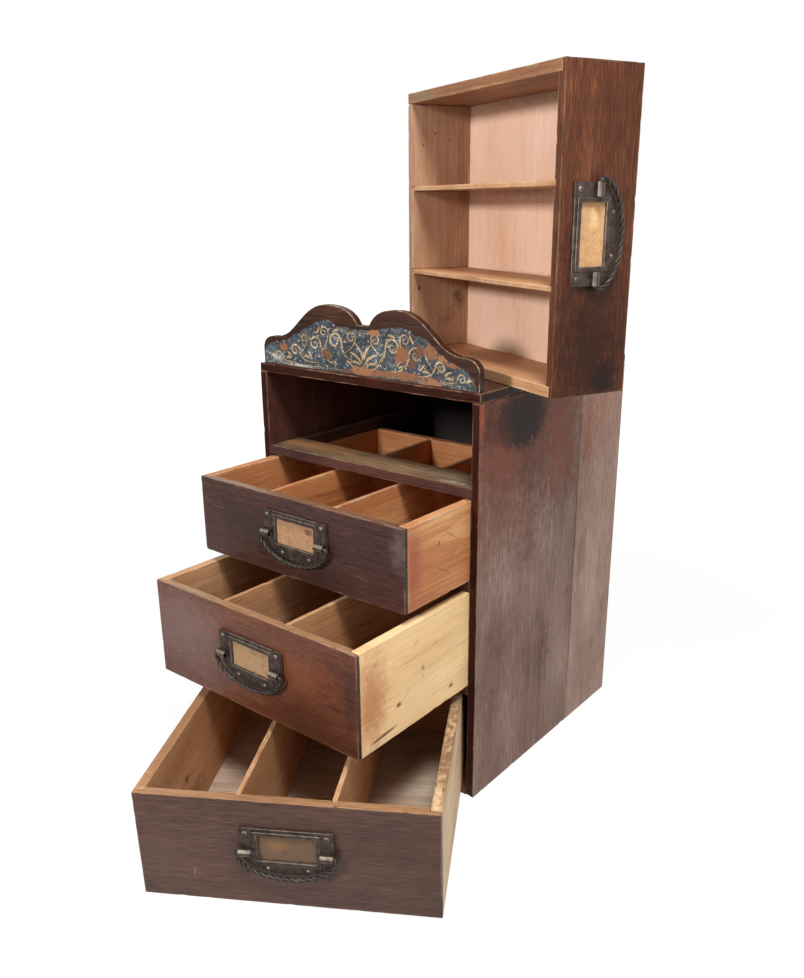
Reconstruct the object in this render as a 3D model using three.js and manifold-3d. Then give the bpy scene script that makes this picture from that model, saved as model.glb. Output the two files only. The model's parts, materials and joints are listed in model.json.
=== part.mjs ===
// Haberdashery cabinet: a small nest of four divided drawers with iron card-holder pulls and a scalloped crest.
// Millimetres, +Z up, the front faces -Y, the origin is the middle of the carcass underside.
// Drawer 1 is the top one. It has been lifted out and stands on its left side on the carcass top.
import * as THREE from 'three';
import { mergeVertices } from 'three/addons/utils/BufferGeometryUtils.js';
import Module from 'manifold-3d';

// Carcass boards
const cabinetWidth = 291;
const cabinetDepth = 294;
const sideThickness = 9;
const topThickness = 9.5;
const bottomThickness = 6.5;
const backThickness = 8;
const railHeight = 10.5;
const railDepth = 43.5;
const runnerWidth = 11;
const sideJointFromFront = 196;

// Drawers, from the top one down: height, and the play above each
const drawerHeights = [79, 81.5, 102.5, 108.5];
const drawerHeadroom = [2.5, 2.5, 2.5, 3.5];
const drawerDepth = 277.5;
const drawerSidePlay = 0.6;
const runningGap = 0.3;
const frontThickness = 9;
const frontLip = 4;
const drawerSideThickness = 10;
const drawerBackThickness = 8.5;
const drawerBottomThickness = 4;
const drawerBottomRise = 4;
const grooveDepth = 3;
const dividerThickness = 4.5;
const dividerDrop = 1.5;
const dividerHousing = 2;
const jointGap = 0.3;

// Where each pull sits on its drawer's front, from the front's middle, from the top drawer down
const pullAside = [1.5, 2, 3.5, 1];
const pullAbove = [2.6, 1.7, 2.2, 4];

// Where the drawers stand
const drawer2Out = 99;
const drawer3Out = 165;
const drawer4Turn = THREE.MathUtils.degToRad(30.4);
const drawer4BackAside = -34.12;
const drawer4BackInside = 12.45;
const drawer4EdgeGap = 0.85;
const drawer1Turn = THREE.MathUtils.degToRad(-24.9);
const drawer1Overhang = 61.3;
const drawer1FromFront = 18.6;

// Crest board
const crestThickness = 8.5;
const crestInset = 4;
const crestSetBack = 3.5;
const crestEndHeight = 15;
const crestShoulderHeight = 30;
const crestShoulderReach = 18;
const crestValleyHeight = 36.5;
const crestValleyFromMiddle = 101;
const crestHumpHeight = 67.5;
const crestHumpFromMiddle = 46.5;
const crestHumpOuterEase = 25;
const crestHumpInnerEase = 19;
const crestFlankRun = 16;
const crestFlankRise = 11;
const crestNotchHeight = 50;
const crestNotchHalfWidth = 7.5;
const crestNotchAside = 2;
const crestNotchLipRun = 7;
const crestNotchLipRise = 13.5;

// Iron pull: card-holder plate and twisted drop bail
const plateWidth = 84;
const plateThickness = 2;
const plateAbovePivot = 22.7;
const apronBelowPivot = 24.4;
const apronStartBelowPivot = 4;
const windowWidth = 52;
const windowHeight = 26;
const windowBelowPivot = 10.2;
const frameBar = 4;
const frameRise = 1.2;
const cardMargin = 2;
const cardThickness = 0.4;
const strapWidth = 11.5;
const strapRise = 1;
const screwRadius = 2.3;
const screwRise = 1.1;
const screwBelowTop = 4.5;
const rivetRadius = 1.9;
const rivetRise = 1.2;
const rivetFromMiddle = 18;
const rivetBelowPivot = 18.2;
const bailRadius = 2.1;
const bailDrop = 25.6;
const bailPinGap = 0.3;
const earWall = 1.7;
const bailSideGap = 0.5;
const bailSections = 84;

// Sizes that follow from the ones above
const openingWidth = cabinetWidth - 2 * sideThickness;
const drawerWidth = openingWidth - 2 * drawerSidePlay;
const frontY = -cabinetDepth / 2;
const backY = cabinetDepth / 2;
const insideBackY = backY - backThickness;
const insideX = openingWidth / 2;
const sideJointY = frontY + sideJointFromFront;
const openingFloors = [0, 0, 0, bottomThickness];
for (let tier = 2; tier >= 0; tier -= 1) {
  const below = tier + 1;
  openingFloors[tier] = openingFloors[below] + drawerHeights[below] + drawerHeadroom[below] + railHeight;
}
const underTop = openingFloors[0] + drawerHeights[0] + drawerHeadroom[0];
const cabinetHeight = underTop + topThickness;

const earBore = bailRadius + bailPinGap;
const earRadius = earBore + earWall;
const pivotOut = plateThickness + earRadius - 0.4;
const strapMiddle = plateWidth / 2 - strapWidth / 2;
const bailHalfWidth = plateWidth / 2 + bailSideGap + bailRadius;

const materials = {
  carcass: new THREE.MeshStandardMaterial({ color: 0x4a2a1e, roughness: 0.55, metalness: 0 }),
  rail: new THREE.MeshStandardMaterial({ color: 0x6b5138, roughness: 0.75, metalness: 0 }),
  runner: new THREE.MeshStandardMaterial({ color: 0x2e1d16, roughness: 0.8, metalness: 0 }),
  back: new THREE.MeshStandardMaterial({ color: 0x1d1512, roughness: 0.85, metalness: 0 }),
  front: new THREE.MeshStandardMaterial({ color: 0x4b2f29, roughness: 0.5, metalness: 0 }),
  pine: new THREE.MeshStandardMaterial({ color: 0xc28f58, roughness: 0.7, metalness: 0 }),
  paleBottom: new THREE.MeshStandardMaterial({ color: 0xc9a98a, roughness: 0.75, metalness: 0 }),
  crest: new THREE.MeshStandardMaterial({ color: 0x39404a, roughness: 0.6, metalness: 0 }),
  iron: new THREE.MeshStandardMaterial({ color: 0x3b3833, roughness: 0.55, metalness: 0.8 }),
  card: new THREE.MeshStandardMaterial({ color: 0xc49a6c, roughness: 0.9, metalness: 0 }),
};

const wasm = await Module();
wasm.setup();

// Solids from geometries, and back
function toSolid(geometry) {
  const bare = geometry.index ? geometry.toNonIndexed() : geometry.clone();
  bare.deleteAttribute('normal');
  bare.deleteAttribute('uv');
  const merged = mergeVertices(bare, 1e-4);
  return new wasm.Manifold(new wasm.Mesh({
    numProp: 3,
    vertProperties: Float32Array.from(merged.attributes.position.array),
    triVerts: Uint32Array.from(merged.index.array),
  }));
}

function toGeometry(solid) {
  const mesh = solid.getMesh();
  const geometry = new THREE.BufferGeometry();
  geometry.setAttribute('position', new THREE.BufferAttribute(mesh.vertProperties, 3));
  geometry.setIndex(new THREE.BufferAttribute(mesh.triVerts, 1));
  geometry.computeVertexNormals();
  return geometry;
}

function block([x0, x1], [y0, y1], [z0, z1]) {
  const geometry = new THREE.BoxGeometry(x1 - x0, y1 - y0, z1 - z0);
  return geometry.translate((x0 + x1) / 2, (y0 + y1) / 2, (z0 + z1) / 2);
}

function cut(geometry, tools) {
  return toGeometry(tools.reduce((solid, tool) => solid.subtract(toSolid(tool)), toSolid(geometry)));
}

function join(geometries) {
  return geometries.map(toSolid).reduce((solid, other) => solid.add(other));
}

function piece(name, geometry, material) {
  const mesh = new THREE.Mesh(geometry, material);
  mesh.name = name;
  return mesh;
}

// Carcass
function buildCarcass() {
  const group = new THREE.Group();
  for (const [hand, sign] of [['left', -1], ['right', 1]]) {
    const across = [sign * insideX, sign * cabinetWidth / 2].sort((a, b) => a - b);
    group.add(piece(`side_${hand}_front`, block(across, [frontY, sideJointY], [0, underTop]), materials.carcass));
    group.add(piece(`side_${hand}_back`, block(across, [sideJointY, backY], [0, underTop]), materials.carcass));
    const backAcross = [0, sign * insideX].sort((a, b) => a - b);
    group.add(piece(`back_board_${hand}`, block(backAcross, [insideBackY, backY], [0, underTop]), materials.back));
    for (let tier = 0; tier < 3; tier += 1) {
      const railTop = openingFloors[tier];
      const strip = [sign * (insideX - runnerWidth), sign * insideX].sort((a, b) => a - b);
      const shape = block(strip, [frontY + railDepth, insideBackY], [railTop - railHeight, railTop]);
      group.add(piece(`runner_${tier + 1}_${hand}`, shape, materials.runner));
    }
  }
  const wide = [-cabinetWidth / 2, cabinetWidth / 2];
  const inside = [-insideX, insideX];
  group.add(piece('top_board', block(wide, [frontY, backY], [underTop, cabinetHeight]), materials.carcass));
  group.add(piece('bottom_board', block(inside, [frontY, insideBackY], [0, bottomThickness]), materials.carcass));
  for (let tier = 0; tier < 3; tier += 1) {
    const railTop = openingFloors[tier];
    const shape = block(inside, [frontY, frontY + railDepth], [railTop - railHeight, railTop]);
    group.add(piece(`rail_${tier + 1}`, shape, materials.rail));
  }
  group.add(buildCrest());
  return group;
}

// The crest's outline on one side of its notch: hump, valley, shoulder, and the rounded end down to its foot
function crestHalf(sign) {
  const at = (x, z) => new THREE.Vector2(sign * x, z);
  const end = cabinetWidth / 2 - crestInset;
  const shoulder = end - crestShoulderReach;
  const valley = crestValleyFromMiddle;
  const hump = crestHumpFromMiddle;
  const notch = crestNotchHalfWidth + sign * crestNotchAside;
  const notchLip = at(notch + crestNotchLipRun, crestNotchHeight + crestNotchLipRise);
  const flankFoot = at(valley - crestFlankRun, crestValleyHeight + crestFlankRise);
  const curves = [
    new THREE.CubicBezierCurve(
      at(notch, crestNotchHeight), notchLip, at(hump - crestHumpInnerEase, crestHumpHeight), at(hump, crestHumpHeight)),
    new THREE.CubicBezierCurve(
      at(hump, crestHumpHeight), at(hump + crestHumpOuterEase, crestHumpHeight), flankFoot, at(valley, crestValleyHeight)),
    new THREE.QuadraticBezierCurve(
      at(valley, crestValleyHeight), at((shoulder + valley) / 2, crestShoulderHeight), at(shoulder, crestShoulderHeight)),
    new THREE.QuadraticBezierCurve(
      at(shoulder, crestShoulderHeight), at(end, crestShoulderHeight), at(end, crestEndHeight)),
  ];
  const points = curves.flatMap((curve, index) => curve.getPoints(12).slice(index === 0 ? 0 : 1));
  return [...points, at(end, 0)];
}

// Crest: two humps with a notch between them, and low shoulders with rounded ends
function buildCrest() {
  const outline = new THREE.Shape([...crestHalf(-1).reverse(), ...crestHalf(1)]);
  const shape = new THREE.ExtrudeGeometry(outline, { depth: crestThickness, bevelEnabled: false });
  shape.rotateX(Math.PI / 2).translate(0, frontY + crestSetBack + crestThickness, cabinetHeight);
  return piece('crest_board', shape, materials.crest);
}

// One drawer. Its own origin is the middle of the front's lower outer edge, with +Y towards its back.
function buildDrawer(number, bottomMaterial) {
  const height = drawerHeights[number - 1];
  const name = (part) => `drawer_${number}_${part}`;
  const half = drawerWidth / 2;
  const sideInner = half - drawerSideThickness;
  const backInner = drawerDepth - drawerBackThickness;
  const bottomTop = drawerBottomRise + drawerBottomThickness;
  const dividerX = (2 * sideInner - 2 * dividerThickness) / 6 + dividerThickness / 2;
  const reach = sideInner + grooveDepth;
  const grooveZ = [drawerBottomRise - jointGap, bottomTop + jointGap];
  const group = new THREE.Group();

  const housings = [-dividerX, dividerX].map((x) => {
    const across = [x - dividerThickness / 2 - jointGap, x + dividerThickness / 2 + jointGap];
    return (along, floor) => block(across, along, [floor, height + 1]);
  });
  const rabbets = [-1, 1].map((sign) => {
    const across = [sign * (sideInner - jointGap), sign * (half + 1)].sort((a, b) => a - b);
    return block(across, [frontLip, frontThickness + 1], [-1, height + 1]);
  });
  const frontGroove = block([-reach - 1, reach + 1], [frontThickness - grooveDepth, frontThickness + 1], grooveZ);
  const frontHousing = [frontThickness - dividerHousing, frontThickness + 1];
  group.add(piece(name('front'), cut(
    block([-half, half], [0, frontThickness], [0, height]),
    [...rabbets, frontGroove, ...housings.map((housing) => housing(frontHousing, drawerBottomRise + 1))],
  ), materials.front));

  const backShape = block([-sideInner + jointGap, sideInner - jointGap], [backInner, drawerDepth],
    [bottomTop + jointGap, height]);
  const backHousing = [backInner - 1, backInner + dividerHousing];
  const backCuts = housings.map((housing) => housing(backHousing, 0));
  group.add(piece(name('back'), cut(backShape, backCuts), materials.pine));

  for (const [hand, sign] of [['left', -1], ['right', 1]]) {
    const across = [sign * sideInner, sign * half].sort((a, b) => a - b);
    const groove = [sign * (sideInner - 1), sign * reach].sort((a, b) => a - b);
    group.add(piece(name(`side_${hand}`), cut(
      block(across, [frontLip + jointGap, drawerDepth], [0, height]),
      [block(groove, [0, drawerDepth + 1], grooveZ)],
    ), materials.pine));
    const middle = sign * dividerX;
    group.add(piece(name(`divider_${hand}`), block(
      [middle - dividerThickness / 2, middle + dividerThickness / 2],
      [frontThickness - dividerHousing + jointGap, backInner + dividerHousing - jointGap],
      [bottomTop + 2 * jointGap, height - dividerDrop],
    ), materials.pine));
  }
  group.add(piece(name('bottom'), block(
    [-reach + jointGap, reach - jointGap],
    [frontThickness - grooveDepth + jointGap, drawerDepth],
    [drawerBottomRise, bottomTop],
  ), bottomMaterial));

  const pull = buildPull(name);
  const pivotHeight = height / 2 + pullAbove[number - 1] + (apronBelowPivot - plateAbovePivot) / 2;
  pull.position.set(pullAside[number - 1], -jointGap, pivotHeight);
  group.add(pull);
  return group;
}

// Iron pull. Its own origin is on the face of the drawer front, level with the bail's pivot.
function buildPull(name) {
  const group = new THREE.Group();
  const half = plateWidth / 2;
  const windowTop = windowHeight - windowBelowPivot;
  const outline = new THREE.Shape();
  outline.moveTo(half, plateAbovePivot);
  outline.lineTo(-half, plateAbovePivot);
  outline.lineTo(-half, -apronStartBelowPivot);
  outline.absellipse(0, -apronStartBelowPivot, half, apronBelowPivot - apronStartBelowPivot, Math.PI, 2 * Math.PI);
  outline.closePath();
  const sheet = new THREE.ExtrudeGeometry(outline, { depth: plateThickness, bevelEnabled: false, curveSegments: 20 });
  sheet.rotateX(Math.PI / 2);

  const frameOut = [-plateThickness - frameRise, -plateThickness / 2];
  const frameHalf = windowWidth / 2 + frameBar;
  const frame = block([-frameHalf, frameHalf], frameOut, [-windowBelowPivot - frameBar, windowTop + frameBar]);
  const parts = [sheet, frame];
  for (const sign of [-1, 1]) {
    const middle = sign * strapMiddle;
    const across = [middle - strapWidth / 2, middle + strapWidth / 2];
    parts.push(block(across, [-plateThickness - strapRise, -plateThickness / 2], [-earRadius / 2, plateAbovePivot]));
    parts.push(block(across, [-pivotOut, -plateThickness / 2], [-earBore, earRadius - 0.2]));
    const ear = new THREE.CylinderGeometry(earRadius, earRadius, strapWidth, 20);
    parts.push(ear.rotateZ(Math.PI / 2).translate(middle, -pivotOut, 0));
    const screw = new THREE.CylinderGeometry(screwRadius * 0.7, screwRadius, screwRise + strapRise, 12);
    const screwY = -plateThickness - (screwRise + strapRise) / 2;
    parts.push(screw.rotateX(Math.PI / 2).translate(middle, screwY, plateAbovePivot - screwBelowTop));
    const rivet = new THREE.CylinderGeometry(rivetRadius * 0.6, rivetRadius, rivetRise + 0.5, 12);
    const rivetY = -plateThickness - rivetRise / 2 + 0.25;
    parts.push(rivet.rotateX(Math.PI / 2).translate(sign * rivetFromMiddle, rivetY, -rivetBelowPivot));
  }
  let plate = join(parts);
  const bore = new THREE.CylinderGeometry(earBore, earBore, strapWidth + 2, 16);
  for (const sign of [-1, 1]) {
    plate = plate.subtract(toSolid(bore.clone().rotateZ(Math.PI / 2).translate(sign * strapMiddle, -pivotOut, 0)));
  }
  const pocketHalf = windowWidth / 2 + cardMargin + jointGap;
  const pocketZ = [-windowBelowPivot - cardMargin - jointGap, windowTop + cardMargin + jointGap];
  plate = plate.subtract(toSolid(block([-windowWidth / 2, windowWidth / 2], [-plateThickness - frameRise - 1, 1],
    [-windowBelowPivot, windowTop])));
  plate = plate.subtract(toSolid(block([-pocketHalf, pocketHalf], [-cardThickness - jointGap, 1], pocketZ)));
  group.add(piece(name('label_plate'), toGeometry(plate), materials.iron));

  const cardHalf = windowWidth / 2 + cardMargin;
  group.add(piece(name('card'), block([-cardHalf, cardHalf], [-cardThickness, 0],
    [-windowBelowPivot - cardMargin, windowTop + cardMargin]), materials.card));
  group.add(buildBail(name));
  return group;
}

// Bail: two pins in the ears, a tight bend beside each ear, and one shallow bow between them
function buildBail(name) {
  const pinEnd = plateWidth / 2 - strapWidth + 0.5;
  const bendStart = plateWidth / 2;
  const bend = bailHalfWidth - bendStart;
  const bow = [];
  for (let step = 1; step < 10; step += 1) {
    const turn = (Math.PI * step) / 10;
    bow.push(new THREE.Vector3(-bailHalfWidth * Math.cos(turn), 0, -bailDrop * Math.sin(turn)));
  }
  const bendPoint = (sign, turn) => new THREE.Vector3(
    sign * (bendStart + bend * Math.sin(turn)),
    0,
    bend * Math.cos(turn) - bend,
  );
  const points = [
    new THREE.Vector3(-pinEnd, 0, 0),
    bendPoint(-1, 0),
    bendPoint(-1, Math.PI / 4),
    bendPoint(-1, Math.PI / 2),
    ...bow,
    bendPoint(1, Math.PI / 2),
    bendPoint(1, Math.PI / 4),
    bendPoint(1, 0),
    new THREE.Vector3(pinEnd, 0, 0),
  ];
  const path = new THREE.CatmullRomCurve3(points, false, 'centripetal');
  const section = new THREE.Shape();
  section.absarc(0, 0, bailRadius, 0, 2 * Math.PI);
  const bar = new THREE.ExtrudeGeometry(section, {
    steps: bailSections,
    extrudePath: path,
    bevelEnabled: false,
    curveSegments: 4,
  });
  bar.translate(0, -pivotOut, 0);
  return piece(name('bail'), bar, materials.iron);
}

// Drawer 1 stands on its left side, on the carcass top
function standDrawer1(drawer) {
  const fallen = new THREE.Group();
  fallen.rotation.y = -Math.PI / 2;
  fallen.position.set(drawerHeights[0], 0, drawerWidth / 2);
  fallen.add(drawer);
  const stand = new THREE.Group();
  stand.rotation.z = Math.PI / 2 + drawer1Turn;
  stand.position.set(cabinetWidth / 2 + drawer1Overhang, frontY + drawer1FromFront, cabinetHeight + jointGap);
  stand.add(fallen);
  return stand;
}

// Drawer 4 leans from the bottom board's front edge down to its own front left corner on the floor
function leanDrawer4(drawer) {
  const frontAside = drawer4BackAside + drawerDepth * Math.sin(drawer4Turn);
  const frontOut = drawerDepth * Math.cos(drawer4Turn) - drawer4BackInside;
  const cornerReach = frontOut + (drawerWidth / 2) * Math.sin(drawer4Turn);
  const edgeHeight = bottomThickness + drawer4EdgeGap;
  drawer.position.set(frontAside, -frontOut, 0);
  drawer.rotation.z = drawer4Turn;
  const lean = new THREE.Group();
  lean.rotation.x = Math.asin(edgeHeight / cornerReach);
  lean.position.set(0, frontY, edgeHeight);
  lean.add(drawer);
  return lean;
}

const cabinet = new THREE.Group();
cabinet.add(buildCarcass());

cabinet.add(standDrawer1(buildDrawer(1, materials.paleBottom)));

const drawer2 = buildDrawer(2, materials.pine);
drawer2.position.set(0, frontY - drawer2Out, openingFloors[1] + runningGap);
cabinet.add(drawer2);

const drawer3 = buildDrawer(3, materials.pine);
drawer3.position.set(0, frontY - drawer3Out, openingFloors[2] + runningGap);
cabinet.add(drawer3);

cabinet.add(leanDrawer4(buildDrawer(4, materials.paleBottom)));

export default cabinet;
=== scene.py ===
import json
import math

import bmesh
import bpy
from mathutils import Matrix, Vector, noise
from mathutils.geometry import interpolate_bezier

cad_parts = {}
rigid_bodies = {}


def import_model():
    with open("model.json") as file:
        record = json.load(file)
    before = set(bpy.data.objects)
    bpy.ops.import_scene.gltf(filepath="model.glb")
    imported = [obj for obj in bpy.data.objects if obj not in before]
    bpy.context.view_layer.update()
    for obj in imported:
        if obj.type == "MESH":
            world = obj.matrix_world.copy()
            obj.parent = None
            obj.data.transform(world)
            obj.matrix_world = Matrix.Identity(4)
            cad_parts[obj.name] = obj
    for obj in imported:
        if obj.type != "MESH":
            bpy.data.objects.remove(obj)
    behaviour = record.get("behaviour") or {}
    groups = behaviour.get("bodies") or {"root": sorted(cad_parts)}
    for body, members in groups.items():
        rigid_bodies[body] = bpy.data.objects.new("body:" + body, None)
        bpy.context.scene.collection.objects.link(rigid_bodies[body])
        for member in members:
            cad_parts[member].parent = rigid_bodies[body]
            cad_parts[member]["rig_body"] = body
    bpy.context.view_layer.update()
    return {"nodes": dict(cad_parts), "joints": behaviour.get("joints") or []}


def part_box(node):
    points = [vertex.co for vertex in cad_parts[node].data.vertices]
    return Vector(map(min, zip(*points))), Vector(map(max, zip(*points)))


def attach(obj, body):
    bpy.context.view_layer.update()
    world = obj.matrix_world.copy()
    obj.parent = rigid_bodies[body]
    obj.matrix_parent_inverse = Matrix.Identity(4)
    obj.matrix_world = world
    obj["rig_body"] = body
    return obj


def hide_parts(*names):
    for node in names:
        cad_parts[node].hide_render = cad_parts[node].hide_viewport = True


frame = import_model()
nodes = frame["nodes"]
mm = 0.001
print("frame loaded with", len(nodes), "nodes")


# Camera, at the photograph's viewing angle
cameraView = {
    "place": (0.59469, -0.81252, 0.59034),
    "azimuth": 38.16,
    "elevation": 18.44,
    "roll": -0.15,
    "lens": 33.10,
    "shift": (-0.0152, 0.0182),
}


def linkObject(name, data):
    made = bpy.data.objects.new(name, data)
    bpy.context.scene.collection.objects.link(made)
    return made


def addCamera():
    data = bpy.data.cameras.new("camera")
    data.lens = cameraView["lens"]
    data.shift_x, data.shift_y = cameraView["shift"]
    camera = linkObject("camera", data)
    turn = Matrix.Rotation(math.radians(cameraView["azimuth"]), 4, "Z")
    tip = Matrix.Rotation(math.radians(90 - cameraView["elevation"]), 4, "X")
    roll = Matrix.Rotation(math.radians(cameraView["roll"]), 4, "Z")
    camera.matrix_world = Matrix.Translation(cameraView["place"]) @ turn @ tip @ roll
    bpy.context.scene.camera = camera


# Light: a small key lamp in front, a large soft one at the right, one overhead, and a pale surround
lamps = {
    "key": {"place": (-0.25, -1.9, 1.05), "size": 0.25, "power": 25},
    "side": {"place": (1.9, -0.7, 0.9), "size": 1.2, "power": 9},
    "overhead": {"place": (0.8, -0.8, 1.95), "size": 0.45, "power": 31},
}
lampAim = (0, -0.1, 0.3)
surround = {"light": 0.26, "room": 0.12, "sweep": 1.0, "seen": 1.0, "turn": (-0.7, 0.3)}
floorLook = {
    "size": 9.0, "colour": "bab8b6", "whiteness": 0.75, "glow": 1.2, "near": 0.5, "far": 1.3,
    "turn": (-1.2, -0.3),
}
plainWhite = (1.0, 1.0, 1.0, 1.0)


def paint(hexText):
    channels = [int(hexText[start:start + 2], 16) / 255 for start in (0, 2, 4)]
    linear = [c / 12.92 if c <= 0.04045 else ((c + 0.055) / 1.055) ** 2.4 for c in channels]
    return (*linear, 1.0)


def addNode(tree, kind, inputs=None, **settings):
    made = tree.nodes.new("ShaderNode" + kind)
    for key, value in settings.items():
        setattr(made, key, value)
    for key, value in (inputs or {}).items():
        if isinstance(value, bpy.types.NodeSocket):
            tree.links.new(value, made.inputs[key])
        else:
            made.inputs[key].default_value = value
    return made


def maths(tree, operation, first, second):
    return addNode(tree, "Math", {0: first, 1: second}, operation=operation).outputs[0]


def plus(tree, first, second):
    return maths(tree, "ADD", first, second)


def times(tree, first, second):
    return maths(tree, "MULTIPLY", first, second)


def spread(tree, value, middle, reach):
    return times(tree, maths(tree, "SUBTRACT", value, middle), reach)


def vectors(tree, operation, first, second=(0.0, 0.0, 0.0)):
    return addNode(tree, "VectorMath", {0: first, 1: second}, operation=operation).outputs


def split(tree, vector):
    return addNode(tree, "SeparateXYZ", {0: vector}).outputs


def level(tree, amount, first, second):
    return addNode(tree, "Mix", {0: amount, 2: first, 3: second}).outputs[0]


def blend(tree, amount, first, second, mode="MIX"):
    inputs = {0: amount, 6: first, 7: second}
    return addNode(tree, "Mix", inputs, data_type="RGBA", blend_type=mode).outputs[2]


def fade(tree, value, low, high, start=0.0, end=1.0):
    inputs = {"Value": value, "From Min": low, "From Max": high, "To Min": start, "To Max": end}
    return addNode(tree, "MapRange", inputs, interpolation_type="SMOOTHSTEP").outputs[0]


def threeTones(tree, tone, colours, low, middle, high):
    dark, mid, light = (paint(colour) for colour in colours)
    lower = blend(tree, fade(tree, tone, low, middle), dark, mid)
    return blend(tree, fade(tree, tone, middle, high), lower, light)


def cloud(tree, vector, scale, detail, roughness):
    inputs = {"Vector": vector, "Scale": scale, "Detail": detail, "Roughness": roughness}
    return addNode(tree, "TexNoise", inputs).outputs["Fac"]


def mapped(tree, vector, location, rotation, scale=(1.0, 1.0, 1.0), kind="TEXTURE"):
    inputs = {"Vector": vector, "Location": location, "Rotation": rotation, "Scale": scale}
    return addNode(tree, "Mapping", inputs, vector_type=kind).outputs[0]


def ownCoords(tree):
    return addNode(tree, "TexCoord").outputs["Object"]


def coordsIn(tree, place):
    return mapped(tree, ownCoords(tree), place.translation, place.to_euler())


def newMaterial(name):
    material = bpy.data.materials.new(name)
    material.use_nodes = True
    material.node_tree.nodes.clear()
    return material, material.node_tree


def finishShader(tree, colour, roughness, height, bump, relief, **fixed):
    bumps = addNode(tree, "Bump", {"Strength": bump, "Distance": relief, "Height": height})
    inputs = {"Base Color": colour, "Roughness": roughness, "Normal": bumps.outputs[0]}
    for socket, value in fixed.items():
        inputs[socket.replace("_", " ")] = value
    shader = addNode(tree, "BsdfPrincipled", inputs)
    addNode(tree, "OutputMaterial", {"Surface": shader.outputs[0]})


def raysIn(tree):
    rays = addNode(tree, "LightPath").outputs
    return maths(tree, "MAXIMUM", rays["Is Camera Ray"], rays["Is Transmission Ray"]), rays["Is Glossy Ray"]


def addSurround():
    world = bpy.data.worlds.new("surround")
    bpy.context.scene.world = world
    world.use_nodes = True
    tree = world.node_tree
    tree.nodes.clear()
    seen, glossy = raysIn(tree)
    away = split(tree, addNode(tree, "TexCoord").outputs["Generated"])[1]
    mirrored = fade(tree, away, *surround["turn"], surround["room"], surround["sweep"])    # darker in front
    strength = level(tree, seen, level(tree, glossy, surround["light"], mirrored), surround["seen"])
    background = addNode(tree, "Background", {"Color": plainWhite, "Strength": strength})
    addNode(tree, "OutputWorld", {"Surface": background.outputs[0]})


def addLamps():
    for name, lamp in lamps.items():
        data = bpy.data.lights.new(name, "AREA")
        data.shape = "SQUARE"
        data.size = lamp["size"]
        data.energy = lamp["power"]
        light = linkObject(name, data)
        light.location = lamp["place"]
        light.rotation_euler = (Vector(lampAim) - light.location).to_track_quat("-Z", "Y").to_euler()


def addFloor():
    bm = bmesh.new()
    bmesh.ops.create_grid(bm, x_segments=1, y_segments=1, size=floorLook["size"] / 2)
    mesh = bpy.data.meshes.new("floor")
    bm.to_mesh(mesh)
    bm.free()
    floor = linkObject("floor", mesh)
    material, tree = newMaterial("floor")
    seen, glossy = raysIn(tree)
    place = ownCoords(tree)
    away = fade(tree, vectors(tree, "LENGTH", place)["Value"], floorLook["near"], floorLook["far"],
                floorLook["whiteness"], 1.0)    # the object's shadow shows near it
    white = times(tree, maths(tree, "MAXIMUM", seen, glossy), away)
    mirrored = fade(tree, split(tree, place)[1], *floorLook["turn"], surround["room"], surround["seen"])
    matt = addNode(tree, "BsdfDiffuse", {"Color": paint(floorLook["colour"])})
    glow = {"Color": plainWhite, "Strength": level(tree, seen, mirrored, floorLook["glow"])}
    glow = addNode(tree, "Emission", glow)
    mixed = addNode(tree, "MixShader", {0: white, 1: matt.outputs[0], 2: glow.outputs[0]})
    addNode(tree, "OutputMaterial", {"Surface": mixed.outputs[0]})
    mesh.materials.append(material)


addCamera()
addSurround()
addLamps()
addFloor()
bpy.context.scene.view_settings.view_transform = "Standard"
print("camera, lamps and floor added")


# Places: each drawer's own frame, and each board's box in it
def boxIn(node, place):
    inverse = place.inverted()
    points = [inverse @ vertex.co for vertex in nodes[node].data.vertices]
    low = Vector([min(point[axis] for point in points) for axis in range(3)])
    high = Vector([max(point[axis] for point in points) for axis in range(3)])
    return low, high


def swingOf(number):
    return next(joint for joint in frame["joints"] if joint["name"] == f"bail_{number}_swing")


def drawerPlace(number):
    swing = swingOf(number)
    across = -Vector(swing["axis"]).normalized()
    front = nodes[f"drawer_{number}_front"].data
    facing = {}
    for face in front.polygons:
        key = tuple(round(part, 1) for part in face.normal)
        facing[key] = facing.get(key, Vector()) + face.normal * face.area
    inward = max(facing.values(), key=lambda total: total.length).normalized()
    middle = sum((vertex.co for vertex in front.vertices), Vector()) / len(front.vertices)
    if inward.dot(middle - Vector(swing["pos_m"])) < 0:
        inward = -inward
    turn = Matrix((across, inward, across.cross(inward))).transposed().to_4x4()
    low, high = boxIn(f"drawer_{number}_front", turn)
    return turn @ Matrix.Translation(((low.x + high.x) / 2, low.y, low.z))


# Grain runs along the first axis, the board's width along the second and its outer face along the third
lies = {
    "upright across": ((1, 0, 0), (0, 0, 1), (0, -1, 0)),
    "upright along": ((0, 1, 0), (0, 0, 1), (1, 0, 0)),
    "flat": ((1, 0, 0), (0, 1, 0), (0, 0, 1)),
    "standing right": ((0, 0, 1), (0, -1, 0), (1, 0, 0)),
    "standing left": ((0, 0, 1), (0, 1, 0), (-1, 0, 0)),
    "standing back": ((0, 0, 1), (1, 0, 0), (0, 1, 0)),
}


def boardPlace(node, outer, lie):
    turn = (outer.to_3x3() @ Matrix(lies[lie]).transposed()).to_4x4()
    low, high = boxIn(node, turn)
    return turn @ Matrix.Translation((low + high) / 2), (high - low) / 2


upright = Matrix.Identity(4)
drawerPlaces = {number: drawerPlace(number) for number in (1, 2, 3, 4)}


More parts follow.
